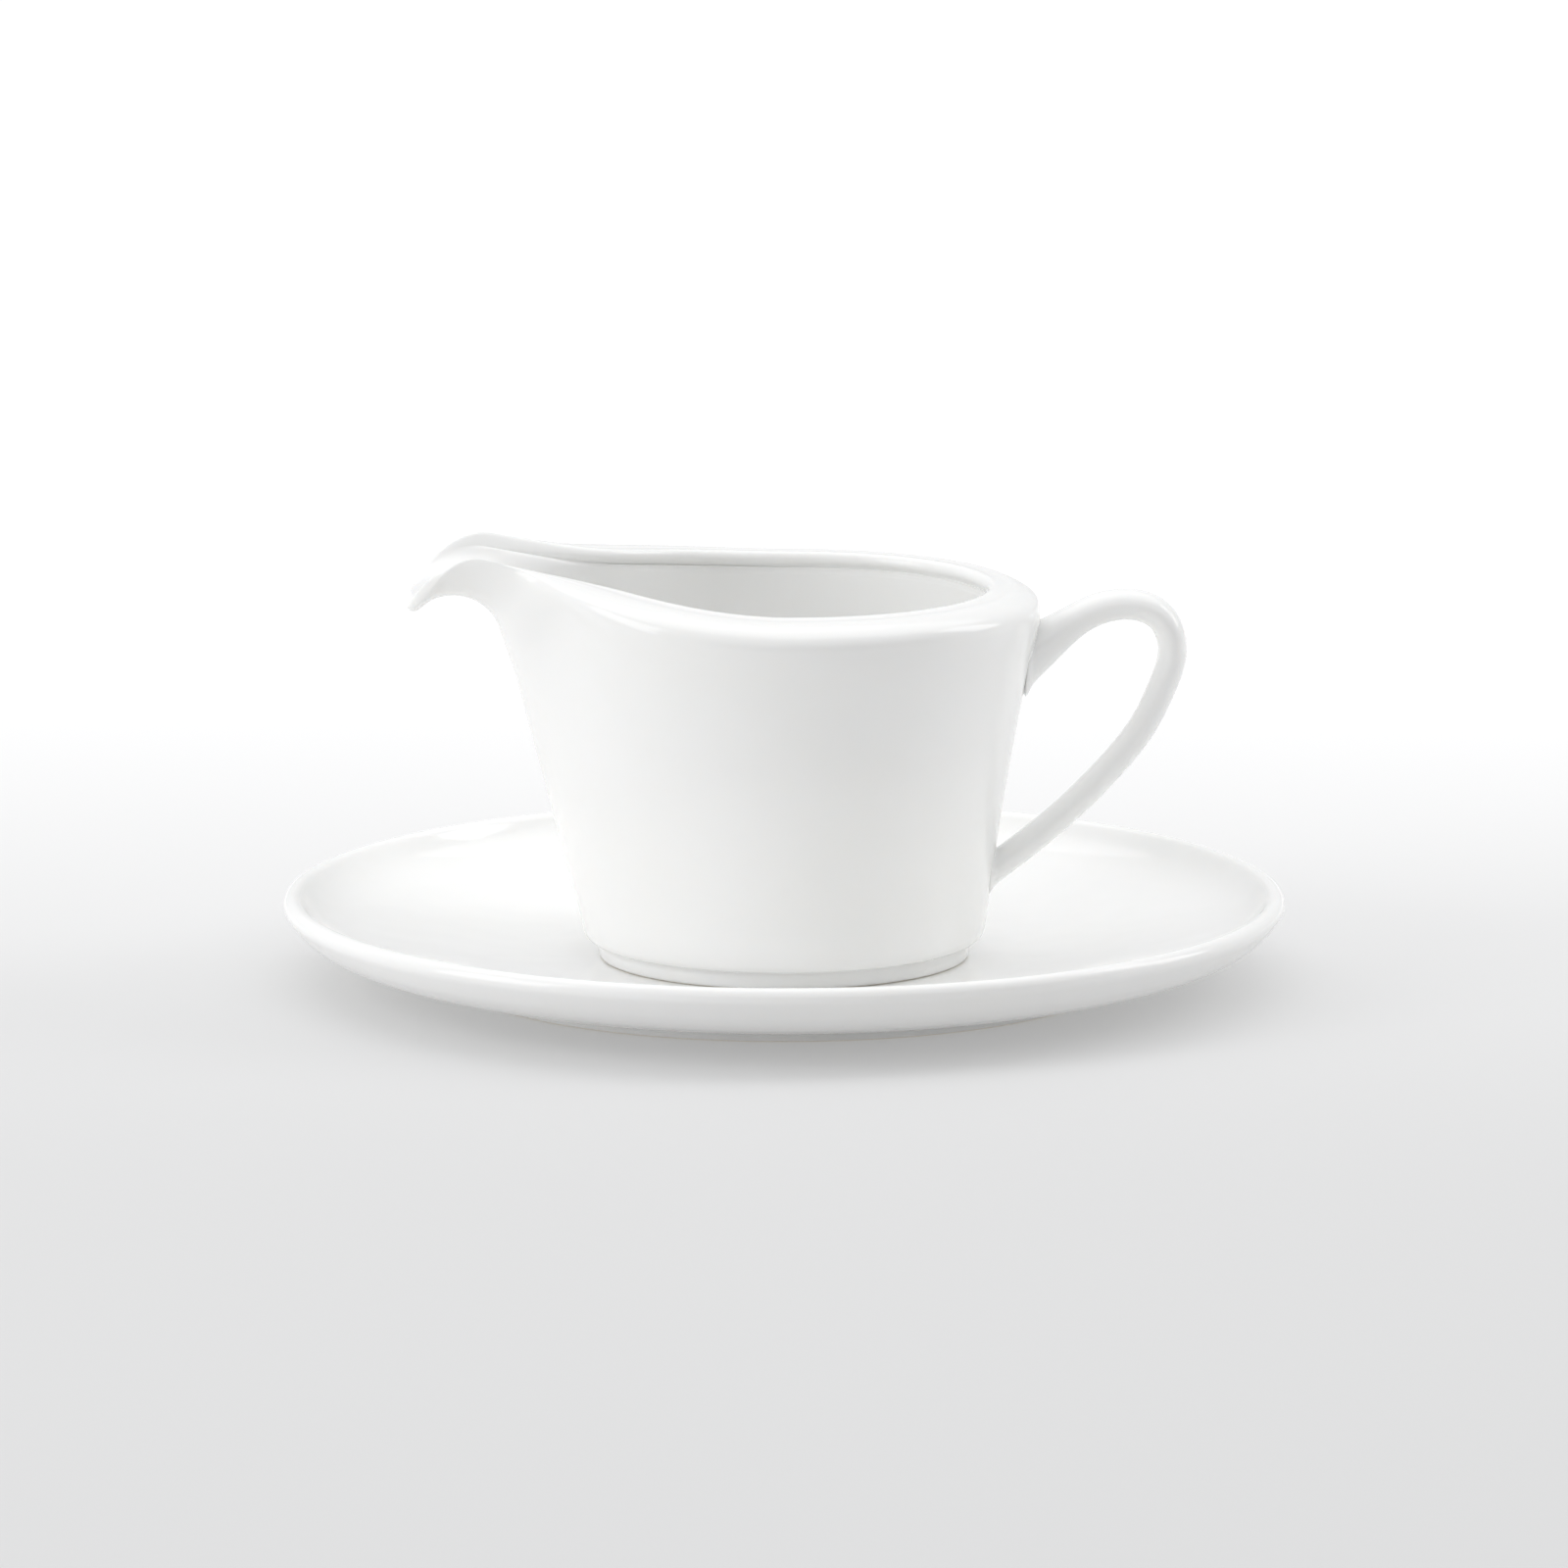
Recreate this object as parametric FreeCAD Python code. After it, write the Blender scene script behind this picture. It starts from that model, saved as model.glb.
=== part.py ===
import FreeCAD, Part
import math
import os

# Sauce boat of glazed bone china standing loose on its round saucer. Millimetres, +Z up, table at z = 0.
# +X points to the handle, -X to the pouring spout; both pieces share the vertical axis through the origin.
V = FreeCAD.Vector
UP = V(0, 0, 1)

# Saucer, turned: a nearly flat coupe with a lifted, rounded lip and a foot ring.
SAUCER_RADIUS = 120.0
SAUCER_HEIGHT = 20.4
SAUCER_LIP_THICKNESS = 4.8
SAUCER_WELL_HEIGHT = 5.1
SAUCER_WELL_RADIUS = 58.0
SAUCER_TURN_UP = 12.0
SAUCER_TURN_UP_HEIGHT = 8.0
SAUCER_FOOT_INSET = 39.0
SAUCER_FOOT_WIDTH = 4.4
SAUCER_FOOT_HEIGHT = 3.0
SAUCER_FOOT_EMBED = 1.2
SAUCER_FOOT_EDGE = 0.6
SAUCER_FOOT_TUCK = 0.4
SAUCER_WELL_THICKNESS = 3.7
# Angles round the lip; then the top as (share from well to turn-up, share of its rise) and the
# underside as (share from foot to lip, share of its rise).
SAUCER_LIP_TURNS = (128.0, 50.0, -24.0)
SAUCER_LIP_SHARE = 0.4
SAUCER_SLOPE = [(0.0, 0.0), (0.26, 0.094), (0.52, 0.319), (0.8, 0.65), (1.0, 1.0)]
SAUCER_BELLY = [(0.897, 0.54), (0.588, 0.23), (0.277, 0.075), (0.026, 0.0)]

# Boat, cast: heights are above its own resting face.
BOAT_WALL = 3.2
BOAT_BASE_RADIUS = 48.2
BOAT_SHOULDER_RADIUS = 61.4
BOAT_WALL_SAG = 0.9
BOAT_BASE_HEIGHT = 4.2
BOAT_BASE_ROUND = 3.0
BOAT_BASE_FLAT = 2.0
BOAT_FOOT_INSET = 3.7
BOAT_FOOT_WIDTH = 3.6
BOAT_FOOT_EMBED = 1.4
BOAT_FOOT_EDGE = 0.6
BOAT_CORNER_INSIDE = 9.0
BOAT_FLOOR_FLAT = 3.0

# Rim: the wall turns inward over the shoulder as a domed collar.
RIM_HEIGHT = 89.8
RIM_DOME = 6.2
BOAT_SHOULDER_HEIGHT = RIM_HEIGHT - RIM_DOME
RIM_COLLAR_WIDTH = 13.8
RIM_FULLNESS = 2.7
RIM_INNER_START = 5.0
RIM_INNER_DEPTH = 40.0
RIM_HANDLE_SIDE = 3.6
RIM_COLLAR_START = 0.15
RIM_COLLAR_FROM = BOAT_SHOULDER_HEIGHT - 34.0
RIM_COLLAR_TO = BOAT_SHOULDER_HEIGHT - 14.0

# Spout: the wall runs out straight, then curls over an arc to a drooping lip between raised wings.
SPOUT_SLOPE = 0.262
SPOUT_CURL_RADIUS = 11.3
SPOUT_CURL_SETOUT = 12.6
SPOUT_CURL_HEIGHT = RIM_HEIGHT - 12.9
SPOUT_CURL_START = 165.0
SPOUT_CURL_LEAD = 8.8
SPOUT_LIP_ANGLE = 42.0
SPOUT_HALF_WIDTH = 22.0
SPOUT_BLUNTNESS = 5.0
SPOUT_BLEND_OUTSIDE = 5.0
SPOUT_BLEND_INSIDE = 3.4
SPOUT_START_HEIGHT = 46.0
SPOUT_FULL_HEIGHT = BOAT_SHOULDER_HEIGHT - 6.0
SPOUT_RISE = 10.4
SPOUT_RISE_SPAN = 76.0
SPOUT_RISE_POWER = 1.6
SPOUT_LIP_LENGTH = 17.0
SPOUT_DROP_POWER = 2.2
SPOUT_LEVEL_FROM = 26.0
SPOUT_LEVEL_TO = 64.0
SPOUT_LEVEL_SHARE = 0.75

# Handle: a bent oval rod, widened where it is stuck to the wall. The loop gives its centre line
# as (share of the way from the top joint to the low joint, distance out from the line between them).
HANDLE_THICKNESS = 6.7
HANDLE_CROWN_THICKNESS = 7.8
HANDLE_CROWN_END = 0.6
HANDLE_BREADTH = 10.4
HANDLE_TOP_FLARE = 18.0
HANDLE_LOW_FLARE = 9.6
HANDLE_JOINT_BREADTH = 12.4
HANDLE_FLARE_SHARE = 0.16
HANDLE_SINK = 1.4
HANDLE_TOP_JOINT = 71.4
HANDLE_LOW_JOINT = 19.6
HANDLE_LOOP = [(-0.13, 5.9), (-0.264, 13.0), (-0.335, 21.5), (-0.31, 29.9), (-0.18, 34.3),
               (0.0, 33.7), (0.196, 30.8), (0.419, 24.6), (0.63, 17.0)]
HANDLE_STATIONS = 28
HANDLE_SIDES = 16

COLUMNS_PER_SIDE = 30
SPOUT_COLUMN_CROWDING = 1.8
ANGLE_STEPS = 600
CONTROL_PASSES = 30
SKIN_BANDS = 6
HANDLE_BANDS = 4
WALL_STEPS = 8
COLLAR_STEPS = 6
LIP_STEPS = 3


def mix(a, b, share):
    return a + (b - a) * share


def ease(value, low, high):
    share = min(max((value - low) / (high - low), 0.0), 1.0)
    return share * share * (3.0 - 2.0 * share)


def periodic_controls(ring):
    """Control points whose closed uniform cubic passes through the points of the ring."""
    count = len(ring)
    control = list(ring)
    for _ in range(CONTROL_PASSES):
        passed = [(control[i - 1] + control[i] * 4.0 + control[(i + 1) % count]) * (1.0 / 6.0)
                  for i in range(count)]
        control = [control[i] + ring[i] - passed[i] for i in range(count)]
    return control


def bowl_outline():
    """Outside of the round wall and its collar, as (radius, height) from base corner to inner edge."""
    points = []
    first = BOAT_BASE_HEIGHT + BOAT_BASE_ROUND
    for step in range(WALL_STEPS + 1):
        share = step / WALL_STEPS
        bow = 4.0 * BOAT_WALL_SAG * share * (1.0 - share)
        radius = mix(BOAT_BASE_RADIUS, BOAT_SHOULDER_RADIUS, share) - bow
        points.append((radius, mix(first, BOAT_SHOULDER_HEIGHT, share)))
    inner_edge = BOAT_SHOULDER_RADIUS - RIM_COLLAR_WIDTH
    for step in range(1, COLLAR_STEPS + 1):
        angle = math.radians(90.0 * step / COLLAR_STEPS)
        radius = inner_edge + RIM_COLLAR_WIDTH * math.cos(angle) ** (2.0 / RIM_FULLNESS)
        height = mix(BOAT_SHOULDER_HEIGHT, RIM_HEIGHT, math.sin(angle) ** (2.0 / RIM_FULLNESS))
        points.append((radius, height))
    return points


def spout_outline():
    """Outside of the wall along the middle of the spout, matched point for point with bowl_outline."""
    first = BOAT_BASE_HEIGHT + BOAT_BASE_ROUND
    straight_top = SPOUT_CURL_HEIGHT - SPOUT_CURL_LEAD
    straight_steps = WALL_STEPS - 1
    centre_x = BOAT_BASE_RADIUS + SPOUT_SLOPE * (SPOUT_CURL_HEIGHT - first) + SPOUT_CURL_SETOUT
    points = []
    for step in range(straight_steps + 1):
        height = mix(first, straight_top, step / straight_steps)
        points.append((BOAT_BASE_RADIUS + SPOUT_SLOPE * (height - first), height))
    for step in range(COLLAR_STEPS + 1):
        angle = math.radians(mix(SPOUT_CURL_START, SPOUT_LIP_ANGLE, step / COLLAR_STEPS))
        points.append((centre_x + SPOUT_CURL_RADIUS * math.cos(angle),
                       SPOUT_CURL_HEIGHT + SPOUT_CURL_RADIUS * math.sin(angle)))
    return points


def offset_outline(points, distance):
    """The same points moved sideways by the wall thickness, towards the inside."""
    moved = []
    for i, (radius, height) in enumerate(points):
        before = points[max(i - 1, 0)]
        after = points[min(i + 1, len(points) - 1)]
        length = math.hypot(after[0] - before[0], after[1] - before[1])
        along = ((after[0] - before[0]) / length, (after[1] - before[1]) / length)
        moved.append((radius - along[1] * distance, height + along[0] * distance))
    return moved


def bowl_inside(outside):
    """Inside of the round wall: thick under the collar, easing down to the wall thickness."""
    plain = offset_outline(outside[:WALL_STEPS + 1], BOAT_WALL)
    edge = outside[-1][0] - BOAT_WALL / 2.0
    for step in range(1, COLLAR_STEPS + 1):
        height = mix(plain[WALL_STEPS][1], RIM_HEIGHT - BOAT_WALL, step / COLLAR_STEPS)
        plain.append((plain[WALL_STEPS][0], height))
    return [(mix(edge, radius, ease(RIM_HEIGHT - height, RIM_INNER_START, RIM_INNER_DEPTH)), height)
            for radius, height in plain]


def full_outline(outside, inside):
    """Base rounding, outside, rounded lip, inside and floor corner as one list of points."""
    base = BOAT_BASE_HEIGHT
    corner = outside[0][0]
    turned = BOAT_BASE_ROUND * (1.0 - math.sqrt(0.5))
    start = [(corner - BOAT_BASE_ROUND - BOAT_BASE_FLAT, base), (corner - BOAT_BASE_ROUND, base),
             (corner - turned, base + turned)]
    last, inner_last = outside[-1], inside[-1]
    middle = ((last[0] + inner_last[0]) / 2.0, (last[1] + inner_last[1]) / 2.0)
    half = BOAT_WALL / 2.0
    across = ((last[0] - inner_last[0]) / BOAT_WALL, (last[1] - inner_last[1]) / BOAT_WALL)
    along = (-across[1], across[0])
    if along[0] * (outside[-1][0] - outside[-2][0]) + along[1] * (outside[-1][1] - outside[-2][1]) < 0.0:
        along = (across[1], -across[0])
    lip = []
    for step in range(1, LIP_STEPS + 1):
        turn = math.pi * step / (LIP_STEPS + 1)
        lip.append((middle[0] + half * (across[0] * math.cos(turn) + along[0] * math.sin(turn)),
                    middle[1] + half * (across[1] * math.cos(turn) + along[1] * math.sin(turn))))
    floor = BOAT_BASE_HEIGHT + BOAT_WALL
    inner_wall = inside[1:]
    inside_corner = inner_wall[0][0]
    turned = BOAT_CORNER_INSIDE * (1.0 - math.sqrt(0.5))
    finish = [(inside_corner - turned, floor + turned), (inside_corner - BOAT_CORNER_INSIDE, floor),
              (inside_corner - BOAT_CORNER_INSIDE - BOAT_FLOOR_FLAT, floor)]
    return start + outside + lip + inner_wall[::-1] + finish


def spout_plan(angle, radius, reach, half_width, blend):
    """Plan radius of a ring: a circle that runs out into a blunt, nearly parallel-sided spout."""
    if reach <= radius + 0.01:
        return radius
    span = (reach ** blend - radius ** blend) ** (1.0 / blend)
    side = math.sin(min(angle, math.pi / 2.0)) / half_width
    front = max(math.cos(angle), 0.0) / span
    channel = (side ** SPOUT_BLUNTNESS + front ** SPOUT_BLUNTNESS) ** (-1.0 / SPOUT_BLUNTNESS)
    share = ((1.0 + math.cos(angle)) / 2.0) ** 3
    return (radius ** blend + share * channel ** blend) ** (1.0 / blend)


def lifted_height(height, towards, inward):
    """Height of a ring point before the lip droops: level with the rim, and rising towards the spout."""
    narrow = ease(height, SPOUT_START_HEIGHT, SPOUT_FULL_HEIGHT)
    level = ease(towards, SPOUT_LEVEL_FROM, SPOUT_LEVEL_TO) * SPOUT_LEVEL_SHARE
    rise = SPOUT_RISE * (towards / SPOUT_RISE_SPAN) ** SPOUT_RISE_POWER
    return mix(height, mix(height, RIM_HEIGHT - BOAT_WALL * inward, level) + rise, narrow)


def ring_point(angle, side, bowl, spout, inward):
    """One point of a ring; angle is 0 at the spout, and inward runs from 0 outside to 1 inside."""
    radius, height = bowl
    reach, reach_height = spout
    wall_share = min(max(height / BOAT_SHOULDER_HEIGHT, 0.0), 1.0)
    upright = mix(BOAT_BASE_RADIUS, BOAT_SHOULDER_RADIUS, wall_share) - BOAT_WALL * inward
    collar = ease((upright - radius) / RIM_COLLAR_WIDTH, RIM_COLLAR_START, 1.0)
    collar *= ease(height, RIM_COLLAR_FROM, RIM_COLLAR_TO)
    radius += RIM_HANDLE_SIDE * collar * ((1.0 - math.cos(angle)) / 2.0) ** 2
    wide = mix(radius, reach, ((1.0 + math.cos(angle)) / 2.0) ** 2)
    blend = mix(SPOUT_BLEND_OUTSIDE, SPOUT_BLEND_INSIDE, inward)
    half_width = SPOUT_HALF_WIDTH - BOAT_WALL * inward
    narrow = ease(height, SPOUT_START_HEIGHT, SPOUT_FULL_HEIGHT)
    plan = mix(wide, spout_plan(angle, radius, reach, half_width, blend), narrow)
    x = -plan * math.cos(angle)
    towards = max(-x, 0.0)
    along = min(max((towards - reach + SPOUT_LIP_LENGTH) / SPOUT_LIP_LENGTH, 0.0), 1.0)
    droop = (reach_height - lifted_height(height, reach, inward)) * along ** SPOUT_DROP_POWER
    return V(x, side * plan * math.sin(angle), lifted_height(height, towards, inward) + droop)


def column_angles():
    """Angles of the columns on one side, close together round the spout and even round the bowl."""
    outer = bowl_outline()[-3][0]
    reach = spout_outline()[-2][0]
    ring = []
    for i in range(ANGLE_STEPS + 1):
        angle = math.pi * i / ANGLE_STEPS
        plan = spout_plan(angle, outer, reach, SPOUT_HALF_WIDTH, SPOUT_BLEND_OUTSIDE)
        ring.append(V(-plan * math.cos(angle), plan * math.sin(angle), 0))
    travelled = [0.0]
    for here, after in zip(ring, ring[1:]):
        crowding = 1.0 + SPOUT_COLUMN_CROWDING * ease(-here.x, SPOUT_LEVEL_FROM, SPOUT_LEVEL_TO)
        travelled.append(travelled[-1] + here.distanceToPoint(after) * crowding)
    angles = []
    i = 0
    for column in range(COLUMNS_PER_SIDE + 1):
        wanted = travelled[-1] * column / COLUMNS_PER_SIDE
        while i < ANGLE_STEPS - 1 and travelled[i + 1] < wanted:
            i += 1
        part = (wanted - travelled[i]) / (travelled[i + 1] - travelled[i])
        angles.append(math.pi * (i + part) / ANGLE_STEPS)
    return angles


def boat_skin():
    """Whole skin of the boat from base ring over the rim to floor ring, as one closed-round surface."""
    outside = bowl_outline()
    bowl = full_outline(outside, bowl_inside(outside))
    spout_side = spout_outline()
    spout = full_outline(spout_side, offset_outline(spout_side, BOAT_WALL))
    count = len(bowl)
    last_outside = bowl.index(outside[-1])
    tight = column_angles()
    both_sides = [(j, 1.0) for j in range(COLUMNS_PER_SIDE + 1)]
    both_sides += [(j, -1.0) for j in range(COLUMNS_PER_SIDE - 1, 0, -1)]
    lengths = [0.0]
    for k in range(1, count):
        here = math.dist(bowl[k], bowl[k - 1]) + math.dist(spout[k], spout[k - 1])
        lengths.append(lengths[-1] + here)
    columns = []
    for j, side in both_sides:
        even = math.pi * j / COLUMNS_PER_SIDE
        points = []
        for k in range(count):
            inward = min(max((k - last_outside) / (LIP_STEPS + 1), 0.0), 1.0)
            angle = mix(even, tight[j], ease(bowl[k][1], 0.0, RIM_COLLAR_TO))
            points.append(ring_point(angle, side, bowl[k], spout[k], inward))
        curve = Part.BSplineCurve()
        curve.interpolate(Points=points, Parameters=lengths)
        columns.append(curve)
    pole_columns = [curve.getPoles() for curve in columns]
    rows = [periodic_controls([column[i] for column in pole_columns]) for i in range(len(pole_columns[0]))]
    around = len(columns)
    surface = Part.BSplineSurface()
    surface.buildFromPolesMultsKnots(rows, columns[0].getMultiplicities(), [1] * (around + 1),
                                     columns[0].getKnots(), [float(i) for i in range(around + 1)],
                                     False, True, 3, 3)
    return surface


def foot_ring(radius, width, height, edge):
    """A turned ring standing on z = 0 with its resting edges eased."""
    ring = Part.makeCylinder(radius, height).cut(Part.makeCylinder(radius - width, height))
    resting = [e for e in ring.Edges if e.BoundBox.ZMax < 0.01 and len(e.Vertexes) == 1]
    return ring.makeFillet(edge, resting)


def capped_solid(surface, bands):
    """Solid inside a closed-round surface, taken as bands between its two flat end rings."""
    knots = surface.getUKnots()
    around = surface.bounds()[2:]
    cuts = [knots[round(i * (len(knots) - 1) / bands)] for i in range(bands + 1)]
    faces = []
    for low, high in zip(cuts, cuts[1:]):
        band = surface.copy()
        band.segment(low, high, around[0], around[1])
        faces.append(band.toShape())
    for face, level in ((faces[0], cuts[0]), (faces[-1], cuts[-1])):
        start = surface.value(level, around[0])
        ring = min((e for e in face.Edges if len(e.Vertexes) == 1),
                   key=lambda e: e.Vertexes[0].Point.distanceToPoint(start))
        faces.append(Part.Face(Part.Wire([ring])))
    shell = Part.makeShell(faces)
    shell.sewShape()
    solid = Part.makeSolid(Part.Shell(shell.Faces))
    if solid.Volume < 0.0:
        solid.reverse()
    return solid


def make_boat_body():
    solid = capped_solid(boat_skin(), SKIN_BANDS)
    radius = BOAT_BASE_RADIUS - BOAT_FOOT_INSET
    foot = foot_ring(radius, BOAT_FOOT_WIDTH, BOAT_BASE_HEIGHT + BOAT_FOOT_EMBED, BOAT_FOOT_EDGE)
    body = solid.fuse(foot)
    body.translate(V(0, 0, SAUCER_WELL_HEIGHT))
    return body


def make_saucer():
    """Turned profile: top from the axis to the lip, round lip, then the underside back to the axis."""
    half = SAUCER_LIP_THICKNESS / 2.0
    well = SAUCER_WELL_HEIGHT
    turn_up = SAUCER_RADIUS - SAUCER_TURN_UP
    foot_radius = SAUCER_RADIUS - SAUCER_FOOT_INSET
    middle = V(SAUCER_RADIUS - half, 0, SAUCER_HEIGHT - half)
    lip = [middle + V(half * math.cos(math.radians(turn)), 0, half * math.sin(math.radians(turn)))
           for turn in SAUCER_LIP_TURNS]
    slope = [V(mix(SAUCER_WELL_RADIUS, turn_up, share), 0, well + SAUCER_TURN_UP_HEIGHT * rise)
             for share, rise in SAUCER_SLOPE]
    over = V(mix(turn_up, SAUCER_RADIUS, SAUCER_LIP_SHARE), 0,
             mix(well + SAUCER_TURN_UP_HEIGHT, SAUCER_HEIGHT, SAUCER_LIP_SHARE))
    top = Part.BSplineCurve()
    top.interpolate(slope + [over, lip[0]])
    round_lip = Part.Arc(lip[0], lip[1], lip[2])
    belly = [V(mix(foot_radius, SAUCER_RADIUS, share), 0, mix(SAUCER_FOOT_HEIGHT, SAUCER_HEIGHT, rise))
             for share, rise in SAUCER_BELLY]
    meet = V(foot_radius - SAUCER_FOOT_WIDTH / 2.0, 0, SAUCER_FOOT_HEIGHT - SAUCER_FOOT_TUCK)
    under = Part.BSplineCurve()
    under.interpolate([lip[2]] + belly + [meet])
    under_height = well - SAUCER_WELL_THICKNESS
    ends = [meet, V(SAUCER_WELL_RADIUS, 0, under_height), V(0, 0, under_height), V(0, 0, well), slope[0]]
    edges = [top.toShape(), round_lip.toShape(), under.toShape()]
    edges += [Part.makeLine(here, after) for here, after in zip(ends, ends[1:])]
    plate = Part.Face(Part.Wire(edges)).revolve(V(0, 0, 0), UP, 360)
    foot = foot_ring(foot_radius, SAUCER_FOOT_WIDTH, SAUCER_FOOT_HEIGHT + SAUCER_FOOT_EMBED, SAUCER_FOOT_EDGE)
    return plate.fuse(foot)


def wall_radius(height):
    """Outside radius of the bowl at a height, on the handle side."""
    first = BOAT_BASE_HEIGHT + BOAT_BASE_ROUND
    share = (height - first) / (BOAT_SHOULDER_HEIGHT - first)
    return mix(BOAT_BASE_RADIUS, BOAT_SHOULDER_RADIUS, share) - 4.0 * BOAT_WALL_SAG * share * (1.0 - share)


def handle_centres():
    """Centre line of the loop from the top joint to the low joint, both sunk in the wall."""
    top = V(wall_radius(HANDLE_TOP_JOINT) - HANDLE_SINK, 0, HANDLE_TOP_JOINT)
    low = V(wall_radius(HANDLE_LOW_JOINT) - HANDLE_SINK, 0, HANDLE_LOW_JOINT)
    down = low - top
    out = V(-down.z, 0, down.x)
    out.normalize()
    return [top] + [top + down * share + out * distance for share, distance in HANDLE_LOOP] + [low]


def handle_flare(share, top, middle, low):
    """Size along the rod: widened over the last sixth at either joint."""
    near_top = max(1.0 - share / HANDLE_FLARE_SHARE, 0.0)
    near_low = max(1.0 - (1.0 - share) / HANDLE_FLARE_SHARE, 0.0)
    return middle + (top - middle) * near_top ** 2 + (low - middle) * near_low ** 2


def make_boat_handle(body):
    """Rod along the loop, its end faces turned parallel to the wall, sunk in it and cut back to it."""
    spine = Part.BSplineCurve()
    spine.interpolate(handle_centres())
    lean = math.atan((BOAT_SHOULDER_RADIUS - BOAT_BASE_RADIUS) / (BOAT_SHOULDER_HEIGHT - BOAT_BASE_HEIGHT))
    wall_out = V(math.cos(lean), 0, -math.sin(lean))
    length = spine.length()
    rows = []
    for station in range(HANDLE_STATIONS + 1):
        share = station / HANDLE_STATIONS
        here = spine.parameterAtDistance(length * share, spine.FirstParameter)
        centre = spine.value(here)
        tangent = spine.tangent(here)[0]
        facing = wall_out if share < 0.5 else wall_out * -1.0
        turn_share = max(1.0 - min(share, 1.0 - share) / HANDLE_FLARE_SHARE, 0.0)
        normal = tangent * (1.0 - turn_share) + facing * turn_share
        normal.normalize()
        across = V(0, 1, 0)
        outward = normal.cross(across)
        rod = mix(HANDLE_CROWN_THICKNESS, HANDLE_THICKNESS, ease(share, 0.0, HANDLE_CROWN_END))
        thick = handle_flare(share, HANDLE_TOP_FLARE, rod, HANDLE_LOW_FLARE)
        broad = handle_flare(share, HANDLE_JOINT_BREADTH, HANDLE_BREADTH, HANDLE_JOINT_BREADTH)
        ring = []
        for step in range(HANDLE_SIDES):
            turn = 2.0 * math.pi * step / HANDLE_SIDES
            ring.append(centre + across * (math.cos(turn) * broad / 2.0)
                        + outward * (math.sin(turn) * thick / 2.0))
        rows.append(periodic_controls(ring))
    columns = []
    for side in range(HANDLE_SIDES):
        curve = Part.BSplineCurve()
        curve.interpolate(Points=[row[side] for row in rows], Parameters=[float(i) for i in range(len(rows))])
        columns.append(curve)
    poles = [[curve.getPoles()[i] for curve in columns] for i in range(columns[0].NbPoles)]
    surface = Part.BSplineSurface()
    surface.buildFromPolesMultsKnots(poles, columns[0].getMultiplicities(), [1] * (HANDLE_SIDES + 1),
                                     columns[0].getKnots(), [float(i) for i in range(HANDLE_SIDES + 1)],
                                     False, True, 3, 3)
    rod = capped_solid(surface, HANDLE_BANDS)
    rod.translate(V(0, 0, SAUCER_WELL_HEIGHT))
    trimmed = rod.cut(body)
    return max(trimmed.Solids, key=lambda solid: solid.Volume)


os.makedirs("parts", exist_ok=True)
saucer = make_saucer()
saucer.exportStep("parts/saucer.step")
boat_body = make_boat_body()
boat_body.exportStep("parts/boat_body.step")
boat_handle = make_boat_handle(boat_body)
boat_handle.exportStep("parts/boat_handle.step")
for name, shape in (("saucer", saucer), ("boat_body", boat_body), ("boat_handle", boat_handle)):
    box = shape.BoundBox
    print(name, shape.isValid(), len(shape.Solids), round(shape.Volume, 1), box)
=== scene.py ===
import math
import bmesh
import bpy
import numpy as np
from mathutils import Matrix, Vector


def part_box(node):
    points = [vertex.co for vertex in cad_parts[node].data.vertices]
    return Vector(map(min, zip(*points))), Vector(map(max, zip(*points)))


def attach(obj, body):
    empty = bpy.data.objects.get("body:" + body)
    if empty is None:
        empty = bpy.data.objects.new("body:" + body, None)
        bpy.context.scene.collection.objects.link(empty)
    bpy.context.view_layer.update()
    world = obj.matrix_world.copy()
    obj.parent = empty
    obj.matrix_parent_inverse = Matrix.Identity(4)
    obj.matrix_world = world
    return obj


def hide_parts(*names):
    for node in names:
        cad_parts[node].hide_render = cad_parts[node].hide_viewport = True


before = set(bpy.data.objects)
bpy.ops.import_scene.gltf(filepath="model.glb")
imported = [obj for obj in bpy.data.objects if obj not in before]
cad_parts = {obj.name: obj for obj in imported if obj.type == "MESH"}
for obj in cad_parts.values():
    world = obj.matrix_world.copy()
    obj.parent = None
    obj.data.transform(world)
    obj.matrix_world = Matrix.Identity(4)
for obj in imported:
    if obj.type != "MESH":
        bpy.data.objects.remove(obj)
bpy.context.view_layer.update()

METRE = 1000.0
MILLIMETRE = 0.001
WELD_DISTANCE = 1e-7


def spline_rows(points, steps):
    """A smooth curve through the points, each a row of numbers, with the given steps in every span.
    The first four numbers of a row are places; what follows them only rides along."""
    values = np.array(points, dtype=float)
    chord = np.sqrt((np.diff(values[:, :4], axis=0) ** 2).sum(axis=1))
    knots = np.concatenate([[0.0], np.cumsum(chord)])
    count = len(knots)
    gaps = np.diff(knots)
    system = np.zeros((count, count))
    sides = np.zeros((count, values.shape[1]))
    system[0, 0] = system[-1, -1] = 1.0
    for i in range(1, count - 1):
        system[i, i - 1:i + 2] = gaps[i - 1], 2.0 * (gaps[i - 1] + gaps[i]), gaps[i]
        sides[i] = 6.0 * ((values[i + 1] - values[i]) / gaps[i] - (values[i] - values[i - 1]) / gaps[i - 1])
    bend = np.linalg.solve(system, sides)
    rows = []
    for i in range(count - 1):
        for step in range(steps):
            t = gaps[i] * step / steps
            slope = (values[i + 1] - values[i]) / gaps[i] - gaps[i] * (2.0 * bend[i] + bend[i + 1]) / 6.0
            cubic = (bend[i + 1] - bend[i]) * t ** 3 / (6.0 * gaps[i])
            rows.append(values[i] + slope * t + bend[i] * t ** 2 / 2.0 + cubic)
    rows.append(values[-1])
    return rows


def arc_points(centre, radius, start, end, steps):
    """Points of an arc as (radius, height), angles in degrees."""
    turns = [math.radians(start + (end - start) * i / steps) for i in range(steps + 1)]
    return [(centre[0] + radius * math.cos(a), centre[1] + radius * math.sin(a)) for a in turns]


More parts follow.
